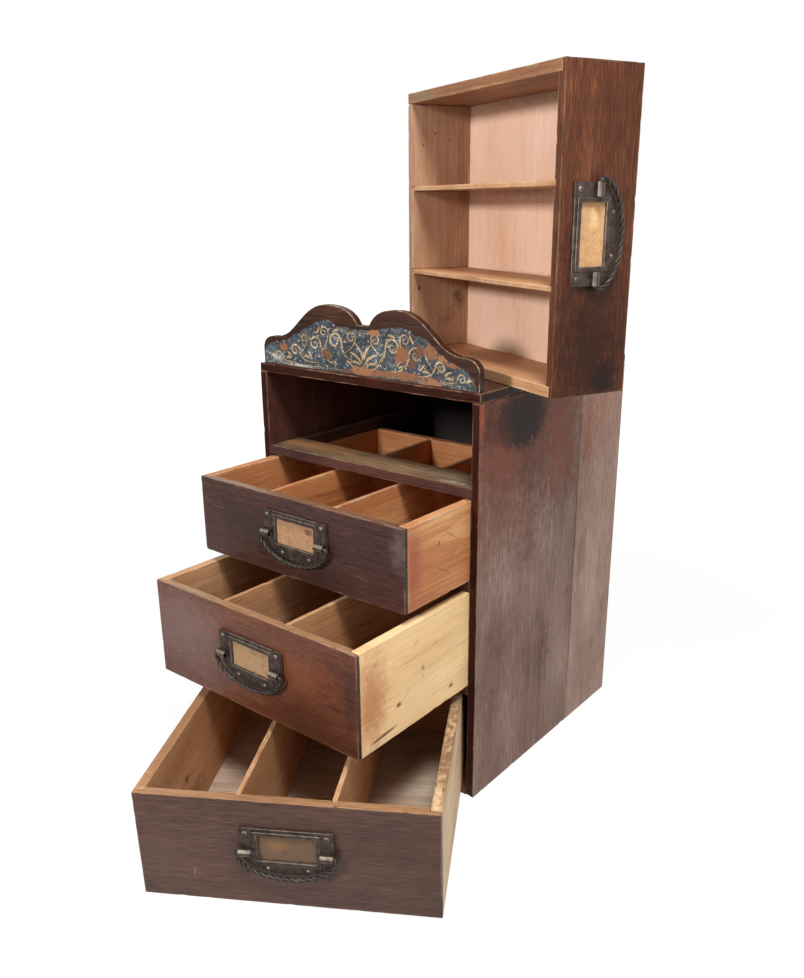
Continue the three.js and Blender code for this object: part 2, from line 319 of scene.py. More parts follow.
# Wood: colours run from the darkest grain line to the lightest wood, sizes are in millimetres
plainWood = {
    "colours": ("6e4a30", "b07d4f", "d9aa74"),
    "ringScale": 314.0 / 3.0,    # rings three millimetres apart
    "ringAmount": 0.12,
    "pith": (25.0, 60.0),
    "streakAmount": 0.3,
    "fibreAmount": 0.4,
    "patchAmount": 0.6,
    "tint": "8a5030",
    "tintAmount": 0.3,
    "worn": "b58f66",
    "wornWidth": 1.6,
    "wornAmount": 0.5,
    "endTone": "a08878",
    "narrowTone": None,
    "arris": None,
    "bare": None,
    "bareTop": 0.0,
    "roughness": 0.62,
    "sheen": 0.5,
    "bump": 0.35,
}
grainLayers = {    # scale along and across the grain, detail and roughness
    "streak": (9.0, 260.0, 4.0, 0.65),
    "fibre": (60.0, 1300.0, 2.0, 0.6),
    "patch": (7.0, 16.0, 3.0, 0.5),
    "tint": (11.7, 28.6, 4.0, 0.6),
}
woods = {
    "side": {
        "colours": ("553c33", "856a5f", "aa9388"), "ringAmount": 0.08, "fibreAmount": 0.8,
        "tint": "6f3d2b", "tintAmount": 0.45, "worn": "a57a5c", "wornWidth": 0.9, "wornAmount": 0.35,
        "narrowTone": "66413a", "bare": ("33201a", "53312a", "6e483a"), "roughness": 0.42,
        "sheen": 0.12,
    },
    # Paler, greyer copy of the side stain for the rear boards: partly painted sheen, the lighter reflection
    # on the rear of the side.
    "farSideWithSheen": {"colours": ("775b4d", "a88a7b", "c4a99b")},
    "top": {
        "colours": ("241410", "43291f", "5f4033"), "narrowTone": "b89a8e", "endTone": "786255",
        "wornAmount": 0.5,
    },
    "inside": {
        "colours": ("2a1712", "4a2c21", "63402f"), "ringAmount": 0.2, "worn": "6b4a38",
        "wornAmount": 0.3, "roughness": 0.7,
    },
    # Nearly black: painted shade for the unlit back inside the carcass.
    "back": {
        "colours": ("17100e", "231815", "33241e"), "ringAmount": 0.15, "tint": "2e1f19",
        "wornAmount": 0.1, "roughness": 0.8,
    },
    "rail": {
        "colours": ("3c2a1a", "745639", "9b7b53"), "ringAmount": 0.2, "fibreAmount": 0.8,
        "patchAmount": 0.9, "tint": "5a4630", "worn": "a58f72", "wornWidth": 0.6, "wornAmount": 0.4,
        "narrowTone": "a8707c", "roughness": 0.75,
    },
    "front": {
        "colours": ("1e0f0b", "402620", "5e3d34"), "ringAmount": 0.06, "fibreAmount": 0.85,
        "patchAmount": 0.45, "tint": "33211f", "tintAmount": 0.4, "worn": "94755c", "wornWidth": 1.0,
        "wornAmount": 0.4, "bare": ("7d5538", "ab7d58", "c79e76"), "bareTop": 0.4, "roughness": 0.4,
        "sheen": 0.4,
    },
    "brownFront": {"colours": ("2a1207", "582e1a", "805033"), "tint": "3f1d10", "bareTop": 0.0, "sheen": 0.2},
    "redFront": {
        "colours": ("2c130a", "582e1c", "7a482f"), "tint": "3f2016",
        "bare": ("6f4e36", "9c7352", "b8936f"), "bareTop": 0.9,
    },
    "lowFront": {
        "colours": ("28150f", "4c3329", "674a40"), "tint": "43291f",
        "bare": ("6c482f", "9d7350", "b58a66"), "bareTop": 1.0,
    },
    "orange": {
        "colours": ("8a4d2c", "bd7b4a", "daa36e"), "tint": "a05a34", "worn": "d6b48c",
        "wornAmount": 0.45,
    },
    "tan": {"colours": ("8a5a34", "bd8a60", "d6aa82"), "tint": "8a5a3c", "worn": "d9b78e"},
    "dull": {"colours": ("74503a", "a67d60", "bf9b7c"), "tint": "80563e", "worn": "c8a888"},
    "brown": {"colours": ("5c3620", "8f5e3c", "b07f57"), "tint": "6a3f28", "worn": "c09a72"},
    "yellow": {"colours": ("cc985f", "f7cf97", "ffe5b8"), "tint": "c99a62", "worn": "e2c79c"},
    "weathered": {
        "colours": ("98744c", "dbb68c", "f2d7b0"), "patchAmount": 0.9, "tint": "8f6a48",
        "tintAmount": 0.5, "worn": "8a7358",
    },
    "pink": {
        "colours": ("dfab8c", "f6ccb0", "fcdcc6"), "ringAmount": 0.06, "streakAmount": 0.2,
        "tint": "e0a888", "wornAmount": 0.1,
    },
    "grey": {
        "colours": ("9b7d64", "c7b099", "e1d2bd"), "ringAmount": 0.15, "tint": "8f6a4c",
        "tintAmount": 0.5, "wornAmount": 0.1,
    },
}
for stain in ("brownFront", "redFront", "lowFront"):
    woods[stain] = {**woods["front"], **woods[stain]}
for stain in ("farSideWithSheen", "top"):
    woods[stain] = {**woods["side"], **woods[stain]}


# Marks: places are from the middle of a board's outer face, sizes are half widths along and across its grain
def spot(at, size, colour, amount=0.8, soft=0.0, ragged=0.8, turn=0.0, face=1):
    return {
        "at": at, "size": size, "colour": colour, "amount": amount,
        "soft": soft, "ragged": ragged, "turn": turn, "face": face,
    }


def knot(at, radius):
    return [
        spot(at, (radius * 2.2, radius * 1.3), "a8693c", 0.55, 0.1, 0.5, face=0),
        spot(at, (radius, radius * 0.75), "6b3a1e", 0.85, 0.4, 0.5, face=0),
    ]


def scratch(at, length, turn, colour="4a2a1c", width=0.45, amount=0.7):
    return spot(at, (length / 2, width), colour, amount, 0.4, 0.35, turn)


def addSpots(tree, local, half, colour, spots, grit=130.0):
    rough = cloud(tree, local, grit, 4.0, 0.65)
    for mark in spots:
        location = (mark["at"][0] * mm, mark["at"][1] * mm, mark["face"] * half.z)
        size = (mark["size"][0] * mm, mark["size"][1] * mm, 1.5 * mm if mark["face"] else 1.0)
        near = mapped(tree, local, location, (0.0, 0.0, math.radians(mark["turn"])), size)
        reach = vectors(tree, "LENGTH", near)["Value"]
        reach = plus(tree, reach, spread(tree, rough, 0.5, mark["ragged"] * 2))
        mask = fade(tree, reach, mark["soft"], 1.0, mark["amount"], 0.0)
        colour = blend(tree, mask, colour, paint(mark["colour"]))
    return colour


def grain(tree, vector, kind):
    along, across, detail, roughness = grainLayers[kind]
    return cloud(tree, vectors(tree, "MULTIPLY", vector, (along, across, across))[0], 1.0, detail, roughness)


def rings(tree, local, look, seed):
    pith = (0.0, look["pith"][0] * mm * math.cos(seed), look["pith"][1] * mm)
    tilt = (0.0, 0.03 * math.sin(seed), 0.05 * math.cos(2 * seed))
    inputs = {
        "Vector": mapped(tree, local, pith, tilt, (0.25, 1.0, 1.0), "POINT"),
        "Scale": look["ringScale"],
        "Distortion": 4.0,
        "Detail": 3.0,
        "Detail Scale": 0.25,
        "Detail Roughness": 0.6,
    }
    wave = addNode(tree, "TexWave", inputs, wave_type="RINGS", rings_direction="X", wave_profile="SAW")
    return wave.outputs["Fac"]


def bareMask(tree, look, local, half, layers):
    rise, deep = split(tree, local)[1:]
    edge = plus(tree, deep, times(tree, layers["streak"], 0.001))
    mask = fade(tree, edge, -half.z + 0.9 * mm, -half.z + 1.6 * mm, 1.0, 0.0)
    if look["bareTop"]:
        rim = fade(tree, rise, half.y - 0.5 * mm, half.y - 0.25 * mm, 0.0, look["bareTop"])
        rim = times(tree, rim, fade(tree, layers["patch"], 0.3, 0.5, 0.7, 1.0))
        mask = maths(tree, "MAXIMUM", mask, rim)
    return mask


def wearMask(tree, look, moved, sides, breakUp):
    nearer = maths(tree, "MINIMUM", sides[0], sides[1])
    farther = maths(tree, "MAXIMUM", sides[0], sides[1])
    toEdge = maths(tree, "MAXIMUM", nearer, maths(tree, "MINIMUM", farther, sides[2]))
    width = look["wornWidth"] * mm
    ragged = maths(tree, "SUBTRACT", toEdge, spread(tree, breakUp, 0.35, width * 4))
    wear = fade(tree, ragged, 0.0, width, look["wornAmount"], 0.0)
    return times(tree, wear, fade(tree, cloud(tree, moved, 28.0, 3.0, 0.6), 0.42, 0.6, 0.1, 1.0))


def facing(tree, direction):
    normal = addNode(tree, "NewGeometry").outputs["True Normal"]
    return vectors(tree, "DOT_PRODUCT", normal, direction)["Value"]


def makeWood(name, look, place, half, seed, spots=()):
    look = {**plainWood, **look}
    material, tree = newMaterial(name)
    local = coordsIn(tree, place)
    moved = vectors(tree, "ADD", local, (0.37 * seed, 0.53 * seed, 0.71 * seed))[0]
    layers = {kind: grain(tree, moved, kind) for kind in grainLayers}
    layers["ring"] = rings(tree, local, look, seed)
    tone = 0.5
    for kind in ("ring", "streak", "fibre", "patch"):
        tone = plus(tree, spread(tree, layers[kind], 0.5, look[kind + "Amount"] * 2), tone)
    colour = threeTones(tree, tone, look["colours"], 0.0, 0.5, 1.0)
    tinted = times(tree, fade(tree, layers["tint"], 0.45, 0.75), look["tintAmount"])
    colour = blend(tree, tinted, colour, paint(look["tint"]))

    if look["bare"]:
        bareWood = threeTones(tree, tone, look["bare"], 0.0, 0.5, 1.0)
        colour = blend(tree, bareMask(tree, look, local, half, layers), colour, bareWood)
    fromMiddle = vectors(tree, "ABSOLUTE", local)[0]
    sides = split(tree, vectors(tree, "SUBTRACT", tuple(half), fromMiddle)[0])
    ends = fade(tree, sides[0], 0.2 * mm, 0.5 * mm, 1.0, 0.0)
    colour = blend(tree, ends, colour, paint(look["endTone"]), "MULTIPLY")
    if look["narrowTone"]:
        narrow = fade(tree, sides[1], 1.0 * mm, 1.5 * mm, 1.0, 0.0)
        narrow = times(tree, narrow, fade(tree, sides[2], 0.15 * mm, 0.6 * mm))
        colour = blend(tree, narrow, colour, paint(look["narrowTone"]), "MULTIPLY")

    breakUp = cloud(tree, moved, 90.0, 5.0, 0.65)
    wear = wearMask(tree, look, moved, sides, breakUp)
    colour = blend(tree, wear, colour, paint(look["worn"]))
    if look["arris"]:
        square = maths(tree, "ABSOLUTE", facing(tree, place.to_3x3().col[2]), 0.0)
        arris = times(tree, fade(tree, square, 0.1, 0.25), fade(tree, square, 0.94, 0.99, 1.0, 0.0))
        arris = times(tree, arris, fade(tree, breakUp, 0.42, 0.62, 0.05, 0.75))
        colour = blend(tree, arris, colour, paint(look["arris"]))
    colour = addSpots(tree, local, half, colour, spots)

    rough = plus(tree, times(tree, layers["fibre"], 0.18), look["roughness"] - 0.09)
    rough = plus(tree, rough, times(tree, wear, 0.2))
    relief = plus(tree, layers["fibre"], times(tree, layers["ring"], 0.4))
    finishShader(tree, colour, rough, relief, look["bump"], 0.25 * mm, Specular_IOR_Level=look["sheen"])
    return material


# Boards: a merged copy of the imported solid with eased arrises, worn unevenly along its edges
boardWear = {"ease": 0.45, "step": 5.0, "rub": 0.12, "chip": 0.45}


def cutAcross(bm, place, half, axis, step):
    direction = place.to_3x3().col[axis]
    count = max(1, int(2 * half[axis] / step))
    for index in range(1, count):
        offset = -half[axis] + 2 * half[axis] * index / count
        geometry = bm.verts[:] + bm.edges[:] + bm.faces[:]
        point = place.translation + direction * offset
        bmesh.ops.bisect_plane(bm, geom=geometry, dist=1e-6, plane_co=point, plane_no=direction)


def rubEdges(bm, place, half, seed, rub, chip):
    inverse = place.inverted()
    for vertex in bm.verts:
        local = inverse @ vertex.co
        inset = [half[axis] - abs(local[axis]) for axis in range(3)]
        near = [axis for axis in range(3) if inset[axis] < 0.9 * mm]
        if len(near) < 2:
            continue
        where = local * 50 + Vector((seed * 3.1, seed * 1.7, seed))
        uneven = 0.5 + 0.5 * noise.noise(where)
        broken = max(0.0, noise.noise(where * 2.7) - 0.3) * 3
        push = (rub * uneven + chip * broken) * mm
        for axis in near:
            local[axis] -= math.copysign(push * (0.6 if axis == 2 else 1.0), local[axis])
        vertex.co = place @ local


def easeEdges(bm, edges, width, segments=2):
    sharp = [edge for edge in edges if edge.is_manifold and edge.calc_face_angle() > 0.5]
    bmesh.ops.bevel(
        bm, geom=sharp, offset=width, offset_type="OFFSET", affect="EDGES",
        segments=segments, profile=0.5, clamp_overlap=True, material=-1)


def linkPiece(bm, name, material, body, replaced=()):
    mesh = bpy.data.meshes.new(name)
    bm.to_mesh(mesh)
    bm.free()
    mesh.materials.append(material)
    piece = linkObject(name, mesh)
    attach(piece, body)
    if replaced:
        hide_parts(*replaced)


def makeBoard(node, outer, lie, wood, slot, seed, **wear):
    amounts = {**boardWear, **wear}
    place, half = boardPlace(node, outer, lie)
    bm = bmesh.new()
    bm.from_mesh(nodes[node].data)
    bmesh.ops.remove_doubles(bm, verts=bm.verts, dist=2e-6)
    bmesh.ops.dissolve_limit(bm, angle_limit=0.01, verts=bm.verts, edges=bm.edges)
    easeEdges(bm, bm.edges, amounts["ease"] * mm)
    for axis in (0, 1):
        cutAcross(bm, place, half, axis, amounts["step"] * mm)
    rubEdges(bm, place, half, seed, amounts["rub"], amounts["chip"])
    material = makeWood(node + "_wood", woods[wood], place, half, seed, boardMarks.get(node, ()))
    linkPiece(bm, "worn_" + node, material, nodes[node]["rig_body"], (node,))


boardMarks = {
    "side_right_front": [
        # Reddish spots over this board's upper part and pale grey ones lower down are partly painted sheen:
        # redder where less light is reflected, greyer where more is.
        spot((185, 40), (180, 200), "67301c", 0.8, 0.1, 0.6),
        spot((-180, 10), (110, 110), "6c4637", 0.35, 0.0, 0.6),
        spot((130, -70), (110, 26), "6a3a2a", 0.5, 0.0, 0.7),
        spot((-60, -62), (150, 34), "a68a7d", 0.45),
        spot((190, 82), (36, 20), "3a1a10", 0.7, 0.2, 0.7),
        spot((60, 10), (60, 34), "6a4034", 0.4, 0.0, 0.9),
        spot((120, -50), (70, 30), "8a4a34", 0.4, 0.0, 0.9),
        spot((-60, 60), (80, 24), "50302a", 0.35, 0.0, 0.9),
        spot((184, 48), (32, 28), "2a150d", 0.85, 0.6, 0.4, 4),
        spot((186, 12), (36, 40), "26120b", 0.85, 0.55, 0.4),
        spot((178, 22), (28, 50), "1d0e09", 0.8, 0.55, 0.5, 4),
        spot((0, -97.2), (240, 1.3), "1c0e0a", 0.85, 0.5, 0.3),
        spot((150, 60), (46, 30), "7a3d2b", 0.4, 0.0, 0.6),
        spot((150, -50), (90, 56), "8c4c2c", 0.45),
        spot((196, 94), (22, 5), "a8502c", 0.6, 0.2),
        spot((-150, -20), (40, 60), "8a6a5c", 0.25),
        scratch((60, -20), 34, 12, "b39a90", 0.4, 0.5),
        scratch((-30, 30), 22, -14, "b39a90", 0.4, 0.45),
        scratch((-110, -40), 40, 6, "3a2420", 0.5, 0.5),
        scratch((20, -60), 50, 2, "3a2420", 0.6, 0.5),
    ],
    "side_right_back": [
        # The reddish spots at this board's top are partly painted sheen, redder where less light is
        # reflected, as on the front board.
        spot((150, 30), (100, 22), "8a4f3c", 0.6),
        spot((180, 0), (90, 50), "8f4e34", 0.5),
        spot((180, -30), (26, 18), "9a6a55", 0.35),
        spot((-160, 0), (70, 60), "7a5648", 0.4),
    ],
    "top_board": [spot((40, 60), (90, 60), "2c1c18", 0.5, face=0)],
    "rail_1": [
        spot((20, 14), (70, 8), "4a3020", 0.5, 0.0, 1.0),
        spot((110, -14), (26, 7), "b3a48c", 0.5, 0.0, 1.0),
        spot((-20, -16), (60, 5), "5a4a3c", 0.5, 0.0, 1.0),
        spot((-90, 8), (80, 20), "9a6238", 0.6),
        spot((90, 0), (60, 14), "8f7c66", 0.5),
    ],
}


def makeCarcass():
    seed = 1
    for hand in ("left", "right"):
        for end, wood in (("front", "side"), ("back", "farSideWithSheen")):
            makeBoard(f"side_{hand}_{end}", upright, f"standing {hand}", wood, "carcass_wood", seed)
            seed += 1
        makeBoard(f"back_board_{hand}", upright, "standing back", "back", "dark_wood", seed)
        seed += 1
        for tier in (1, 2, 3):
            makeBoard(f"runner_{tier}_{hand}", upright, "upright along", "inside", "dark_wood", seed, step=20)
            seed += 1
    makeBoard("top_board", upright, "flat", "top", "carcass_wood", seed, rub=0.6)
    makeBoard("bottom_board", upright, "flat", "inside", "carcass_wood", seed + 1)
    for tier in (1, 2, 3):
        makeBoard(f"rail_{tier}", upright, "flat", "rail", "rail_wood", seed + 1 + tier, rub=0.7)


makeCarcass()
print("carcass boards finished")


# Crest: heights above the carcass top and distances from its middle
crestLook = {
    "roundFoot": 15.0,
    "shoulder": (30.0, 18.0),
    "valley": (101.0, 36.5),
    "hump": (46.5, 25.0, 19.0),
    "flank": (16.0, 11.0),
    "notch": (7.5, 50.0, 2.0),
    "lip": (7.0, 13.5),
    "ease": 0.7,
    "steps": 22,
}
woods["crest"] = {
    **woods["side"],
    "colours": ("1c0b06", "3a1e0e", "5f3a26"),
    "patchAmount": 0.9,
    "tint": "2f180d",
    "wornAmount": 0.0,
    "narrowTone": None,
    "arris": "c3a283",
    "bare": None,
    "sheen": 0.4,
}
crestLow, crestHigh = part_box("crest_board")
crestPlace, crestBox = boardPlace("crest_board", upright, "upright across")


def crestHalf(sign, end, humpTop):
    def at(x, z):
        return Vector((sign * x, z, 0))

    def curve(first, pullFirst, pullLast, last):
        return interpolate_bezier(first, pullFirst, pullLast, last, crestLook["steps"])[1:]

    def bow(first, pull, last):
        return curve(first, first.lerp(pull, 2 / 3), last.lerp(pull, 2 / 3), last)

    shoulderTop, reach = crestLook["shoulder"]
    valley, valleyTop = crestLook["valley"]
    hump, outerEase, innerEase = crestLook["hump"]
    flankRun, flankRise = crestLook["flank"]
    notchHalf, notchTop, aside = crestLook["notch"]
    lipRun, lipRise = crestLook["lip"]
    notch = notchHalf + sign * aside
    shoulder = end - reach
    points = [at(notch, notchTop)]
    points += curve(
        at(notch, notchTop), at(notch + lipRun, notchTop + lipRise),
        at(hump - innerEase, humpTop), at(hump, humpTop))
    points += curve(
        at(hump, humpTop), at(hump + outerEase, humpTop),
        at(valley - flankRun, valleyTop + flankRise), at(valley, valleyTop))
    points += bow(at(valley, valleyTop), at((shoulder + valley) / 2, shoulderTop), at(shoulder, shoulderTop))
    points += bow(at(shoulder, shoulderTop), at(end, shoulderTop), at(end, crestLook["roundFoot"]))
    return points + [at(end, 0)]


def only(items, kind):
    return [item for item in items if isinstance(item, kind)]


def thicken(bm, faces, step):
    grown = bmesh.ops.extrude_face_region(bm, geom=faces)["geom"]
    bmesh.ops.translate(bm, verts=only(grown, bmesh.types.BMVert), vec=(0, step, 0))
    bmesh.ops.recalc_face_normals(bm, faces=bm.faces)
    return grown


def flatPiece(bm, outline, front, back):
    verts = [bm.verts.new((point[0] * mm, front, crestLow.z + point[1] * mm)) for point in outline]
    thicken(bm, [bm.faces.new(verts)], back - front)


def makeCrest():
    end, humpTop = crestHigh.x / mm, (crestHigh.z - crestLow.z) / mm
    outline = crestHalf(-1, end, humpTop)[::-1] + crestHalf(1, end, humpTop)
    bm = bmesh.new()
    flatPiece(bm, outline, crestLow.y, crestHigh.y)
    rims = [edge for edge in bm.edges if edge.verts[0].co.y == edge.verts[1].co.y]
    easeEdges(bm, rims, crestLook["ease"] * mm, 3)
    material = makeWood("crest_wood", woods["crest"], crestPlace, crestBox, 17)
    linkPiece(bm, "shaped_crest", material, "cabinet", ("crest_board",))


# Painted field on the crest: a thin layer of paint with a ragged edge
fieldLook = {
    "top": (
        (-140.4, 14.5), (-134.0, 21.0), (-120.0, 24.5), (-106.0, 27.5), (-90.0, 35.0), (-78.0, 42.0),
        (-61.0, 49.0), (-51.0, 51.8), (-42.0, 51.6), (-33.0, 47.3), (-24.0, 46.3), (-6.0, 45.2), (7.0, 46.2),
        (20.0, 47.2), (28.5, 49.1), (39.0, 51.0), (49.0, 51.8), (59.0, 50.3), (69.0, 45.6), (83.0, 42.5),
        (87.0, 37.5), (98.5, 29.7), (108.0, 25.2), (117.5, 21.6), (127.0, 18.0), (134.5, 11.2), (138.5, 4.0)),
    "bottom": 0.6,
    "ragged": 1.1,
    "seed": 5,
    "rise": 0.15,
    "blues": ("0f1316", "2b353d", "667681"),
    "cream": "c9bfa6",
    "ground": "5d3b2b",
    "bareWood": ("845232", "93623e", "633e2a"),
}
chips = (    # where the paint has gone, how far, and which tone of bare wood shows
    ((-80, 46), (9, 3), 0), ((16, 45), (9, 5), 1), ((51, 26), (10, 9), 0), ((73, 32), (6, 6), 2),
    ((86, 32), (9, 8), 0), ((101, 28), (9, 5), 1), ((-110, 19), (7, 5), 0), ((-49, 17), (9, 6), 2),
    ((2, 5), (21, 5), 1), ((30, 5), (19, 4), 0), ((58, 6), (20, 5), 0), ((86, 3), (16, 5), 1),
    ((112, 22), (11, 3), 0), ((-118, 27), (8, 3), 2), ((64, 18), (6, 5), 2), ((-20, 3), (9, 2), 2),
)


def makePaint(name, colours):
    material, tree = newMaterial(name)
    local = coordsIn(tree, crestPlace)
    specks = cloud(tree, local, 520.0, 4.0, 0.7)
    tone = plus(tree, times(tree, cloud(tree, local, 70.0, 6.0, 0.7), 0.55), times(tree, specks, 0.45))
    colour = threeTones(tree, tone, colours, 0.36, 0.5, 0.66)
    scuffs = fade(tree, cloud(tree, local, 240.0, 6.0, 0.75), 0.55, 0.66, 0.0, 0.9)
    colour = blend(tree, scuffs, colour, paint(fieldLook["cream"]))
    middle = crestBox.y / mm
    marks = [
        spot((x, z - middle), size, fieldLook["bareWood"][tint], 0.92, 0.7, 1.1, face=0)
        for (x, z), size, tint in chips]
    marks.append(spot((-122, 8 - middle), (12, 7), "b4b6b0", 0.7, 0.0, 1.2, face=0))
    marks.append(spot((-85, 2 - middle), (36, 2.5), "c4beae", 0.7, 0.0, 1.2, face=0))
    colour = addSpots(tree, local, crestBox, colour, marks, 300.0)
    worn = fade(tree, cloud(tree, local, 150.0, 6.0, 0.7), 0.58, 0.62, 0.0, 0.85)
    colour = blend(tree, worn, colour, paint(fieldLook["ground"]))
    finishShader(tree, colour, 0.6, maths(tree, "SUBTRACT", specks, worn), 0.5, 0.2 * mm)
    return material


def raggedPoint(x, z):
    drift = noise.noise_vector(Vector((x * 0.35, z * 0.35, 3.0))) * fieldLook["ragged"]
    drift += noise.noise_vector(Vector((x * 1.3, z * 1.3, 7.0))) * fieldLook["ragged"] * 0.5
    return x + drift.x, max(fieldLook["bottom"], z + drift.y)


def makeField():
    noise.seed_set(fieldLook["seed"])    # the same ragged edge each time
    left, right = fieldLook["top"][0][0], fieldLook["top"][-1][0]
    outline = [(right, fieldLook["bottom"]), (left, fieldLook["bottom"])]
    for first, last in zip(fieldLook["top"], fieldLook["top"][1:]):
        count = max(2, int(math.dist(first, last) / 0.8))
        for index in range(count):
            share = index / count
            eased = share * share * (3 - 2 * share)
            run, climb = last[0] - first[0], last[1] - first[1]
            x, z = raggedPoint(first[0] + run * share, first[1] + climb * eased)
            outline.append((max(x, left), z))
    bm = bmesh.new()
    flatPiece(bm, outline[::-1], crestLow.y - fieldLook["rise"] * mm, crestLow.y + 0.2 * mm)
    linkPiece(bm, "painted_field", makePaint("crest_field", fieldLook["blues"]), "cabinet")


# Scrolls: each runs along one curve and then winds round its own centre; the left ones mirror the right
scrolls = (
    {"curve": ((8, 7), (22, 7), (31, 22), (31, 32)), "centre": (40, 32), "width": 2.1},
    {"curve": ((36, 9), (50, 7), (60, 16), (60, 27)), "centre": (68, 27), "width": 1.9},
    {"curve": ((64, 8), (78, 6), (90, 9), (91, 18)), "centre": (97.5, 18), "width": 1.6},
    {"curve": ((97, 6), (108, 4), (116, 5), (117, 10)), "centre": (122, 10), "width": 1.3},
    {"curve": ((29, 20), (20, 24), (13, 30), (12, 37)), "centre": (18, 37), "width": 1.4},
    {"curve": ((58, 21), (52, 27), (49, 33), (49, 40)), "centre": (55, 40), "width": 1.4},
    {"curve": ((89, 15), (84, 20), (80, 25), (79, 31)), "centre": (83.5, 31), "width": 1.2},
)
leaves = (    # foot, direction and length
    ((2, 12), 90, 24), ((4, 12), 62, 19), ((6, 11), 35, 14), ((45, 14), 70, 9), ((47, 13), 30, 9),
    ((74, 13), 75, 8), ((76, 12), 28, 9), ((103, 11), 60, 7), ((104, 9), 20, 8), ((127, 8), 40, 7),
    ((24, 12), 100, 9), ((34, 43), 15, 9), ((66, 38), 150, 9),
)
scrollLook = {
    "colours": ("5f4f38", "a3835a", "dcd5c0"), "middle": 2.0, "turns": 1.35, "tightening": 0.82,
    "leafWidth": 2.6, "leafBend": 0.5, "rise": 0.08, "dotGap": 3.1,
}


def addStroke(bm, points, width, flip):
    count = len(points)
    front = crestLow.y - (fieldLook["rise"] + scrollLook["rise"]) * mm
    back = front + 2 * scrollLook["rise"] * mm
    previous = None
    for index, (x, z) in enumerate(points):
        ahead = Vector(points[min(index + 1, count - 1)]) - Vector(points[max(index - 1, 0)])
        across = Vector((-ahead.y, ahead.x)).normalized()
        swell = width / 2 * (0.22 + 0.78 * math.sin(math.pi * (0.06 + 0.94 * index / (count - 1))) ** 0.8)
        fresh = []
        for hand, depth in ((-1, front), (1, front), (1, back), (-1, back)):
            px = x + across.x * swell * hand
            if flip:
                px = 2 * scrollLook["middle"] - px
            fresh.append(bm.verts.new((px * mm, depth, crestLow.z + (z + across.y * swell * hand) * mm)))
        if previous:
            for corner in range(4):
                bm.faces.new((previous[corner - 1], previous[corner], fresh[corner], fresh[corner - 1]))
        if index in (0, count - 1):
            bm.faces.new(fresh)
        previous = fresh


def addScroll(bm, scroll, flip):
    curve = [Vector((x, z, 0)) for x, z in scroll["curve"]]
    points = [(point.x, point.y) for point in interpolate_bezier(*curve, 16)]
    centre = Vector(scroll["centre"])
    arm = Vector(points[-1]) - centre
    start = math.atan2(arm.y, arm.x)
    for index in range(1, 31):
        share = index / 30
        radius = arm.length * (1 - scrollLook["tightening"] * share)
        turn = start - 2 * math.pi * scrollLook["turns"] * share
        points.append((centre.x + radius * math.cos(turn), centre.y + radius * math.sin(turn)))
    addStroke(bm, points, scroll["width"], flip)


def addLeaf(bm, foot, turn, length, flip):
    points = []
    for index in range(9):
        share = index / 8
        bent = math.radians(turn) - scrollLook["leafBend"] * share
        points.append((foot[0] + length * share * math.cos(bent), foot[1] + length * share * math.sin(bent)))
    addStroke(bm, points, scrollLook["leafWidth"], flip)


def addDot(bm, x, z, reach, width, flip):
    addStroke(bm, [(x - reach, z), (x, z + 0.1), (x + reach, z)], width, flip)


def makeScrolls():
    bm = bmesh.new()
    for flip in (False, True):
        for scroll in scrolls:
            addScroll(bm, scroll, flip)
        for foot, turn, length in leaves:
            addLeaf(bm, foot, turn, length, flip)
        for index in range(38):
            x = scrollLook["middle"] + 3 + index * scrollLook["dotGap"]
            if index % 9 != 8:
                addDot(bm, x, 3.4, 0.9, 1.5, flip)
            if index < 9:
                addDot(bm, x, 42.5, 0.8, 1.4, flip)
    bmesh.ops.recalc_face_normals(bm, faces=bm.faces)
    material = makePaint("crest_scrolls", scrollLook["colours"])
    linkPiece(bm, "painted_scrolls", material, "cabinet")


makeCrest()
makeField()
makeScrolls()
print("crest finished")


